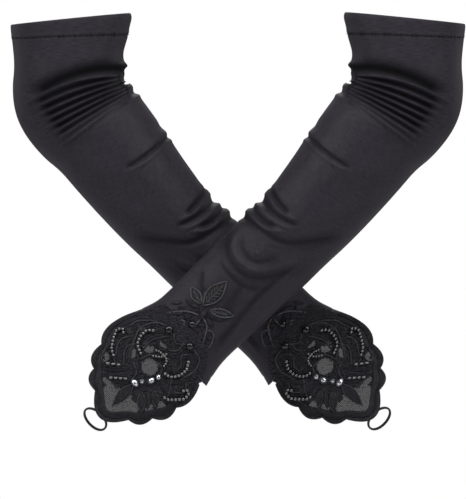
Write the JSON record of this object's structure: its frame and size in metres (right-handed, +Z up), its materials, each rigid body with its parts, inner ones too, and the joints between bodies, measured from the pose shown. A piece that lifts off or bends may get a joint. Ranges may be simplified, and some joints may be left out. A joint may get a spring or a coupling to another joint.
{
  "type": "fingerless opera gloves",
  "caption": "Pair of elbow-length fingerless satin gloves held as on crossed arms, each with a sheer beaded lace flap over the back of the hand and an elastic finger loop.",
  "frame": {"origin": "midway between the centres of the two arm openings, level with them", "axes": "+Z up towards the wearer's shoulders, +X to the side of the left-hand glove's elbow, +Y away from the backs of the hands; the left-hand glove passes in front at -Y"},
  "size_m": [0.3426, 0.1436, 0.3133],
  "materials": {
    "satin": "black stretch satin, soft sheen",
    "elastic": "black covered elastic",
    "thread": "black sewing thread",
    "tulle": "sheer black net",
    "embroidery": "black satin-stitch embroidery",
    "black_beads": "polished black",
    "crystal": "clear faceted, in metal cups"
  },
  "bodies": {
    "left_upper": {"left_upper_sleeve": "satin", "left_hem_elastic": "elastic", "left_hem_facing": "satin", "left_hem_stitching": "thread", "left_elbow_section": "satin"},
    "left_forearm": {"left_forearm_sleeve": "satin", "left_forearm_seam": "satin", "left_wrist_section": "satin", "left_leaf_spray": "embroidery"},
    "left_hand": {"left_hand_cuff": "satin", "left_cuff_hem": "satin", "left_tulle_panel": "tulle", "left_scallop_border": "embroidery", "left_thumb_side_lace": "embroidery", "left_little_finger_side_lace": "embroidery", "left_tip_leaf": "embroidery", "left_side_leaves": "embroidery", "left_beaded_leaf": "embroidery", "left_thumb_edge_beads": "black_beads", "left_crescent_beads": "black_beads", "left_cross_beads": "black_beads", "left_hook_beads": "black_beads", "left_little_finger_edge_beads": "black_beads", "left_short_bugle_row": "black_beads", "left_long_bugle_row": "black_beads", "left_stone_chain": "crystal", "left_wrist_rosette": "black_beads", "left_thumb_side_rosette": "black_beads", "left_little_finger_side_rosette": "black_beads"},
    "left_loop": {"left_finger_loop": "elastic"},
    "right_upper": {"right_upper_sleeve": "satin", "right_hem_elastic": "elastic", "right_hem_facing": "satin", "right_hem_stitching": "thread", "right_elbow_section": "satin"},
    "right_forearm": {"right_forearm_sleeve": "satin", "right_forearm_seam": "satin", "right_wrist_section": "satin", "right_leaf_spray": "embroidery"},
    "right_hand": {"right_hand_cuff": "satin", "right_cuff_hem": "satin", "right_tulle_panel": "tulle", "right_scallop_border": "embroidery", "right_thumb_side_lace": "embroidery", "right_little_finger_side_lace": "embroidery", "right_tip_leaf": "embroidery", "right_side_leaves": "embroidery", "right_beaded_leaf": "embroidery", "right_thumb_edge_beads": "black_beads", "right_crescent_beads": "black_beads", "right_cross_beads": "black_beads", "right_hook_beads": "black_beads", "right_little_finger_edge_beads": "black_beads", "right_short_bugle_row": "black_beads", "right_long_bugle_row": "black_beads", "right_stone_chain": "crystal", "right_wrist_rosette": "black_beads", "right_thumb_side_rosette": "black_beads", "right_little_finger_side_rosette": "black_beads"},
    "right_loop": {"right_finger_loop": "elastic"}
  },
  "joints": [
    {"name": "pair_separation", "type": "slide", "parent": "left_upper", "child": "right_upper", "axis": [0, 1, 0], "range_m": [0, 0.12]},
    {"name": "left_elbow", "type": "hinge", "parent": "left_upper", "child": "left_forearm", "pos_m": [0.12261, -0.03, -0.06342], "axis": [0, 1, 0], "range_deg": [-40, 40], "deforming": ["left_elbow_section"]},
    {"name": "left_wrist", "type": "hinge", "parent": "left_forearm", "child": "left_hand", "pos_m": [-0.03014, -0.03, -0.22374], "axis": [0.7133, 0, -0.7009], "range_deg": [-30, 30], "deforming": ["left_wrist_section"]},
    {"name": "left_finger_loop_swing", "type": "hinge", "parent": "left_hand", "child": "left_loop", "pos_m": [-0.1027, -0.04273, -0.29615], "axis": [-0.7133, 0, 0.7009], "range_deg": [-90, 45], "stiffness_Nm_per_rad": 0.001},
    {"name": "right_elbow", "type": "hinge", "parent": "right_upper", "child": "right_forearm", "pos_m": [-0.12261, 0.03, -0.06342], "axis": [0, -1, 0], "range_deg": [-40, 40], "deforming": ["right_elbow_section"]},
    {"name": "right_wrist", "type": "hinge", "parent": "right_forearm", "child": "right_hand", "pos_m": [0.03014, 0.03, -0.22374], "axis": [0.7133, 0, 0.7009], "range_deg": [-30, 30], "deforming": ["right_wrist_section"]},
    {"name": "right_finger_loop_swing", "type": "hinge", "parent": "right_hand", "child": "right_loop", "pos_m": [0.1027, 0.01727, -0.29615], "axis": [-0.7133, 0, -0.7009], "range_deg": [-90, 45], "stiffness_Nm_per_rad": 0.001}
  ]
}
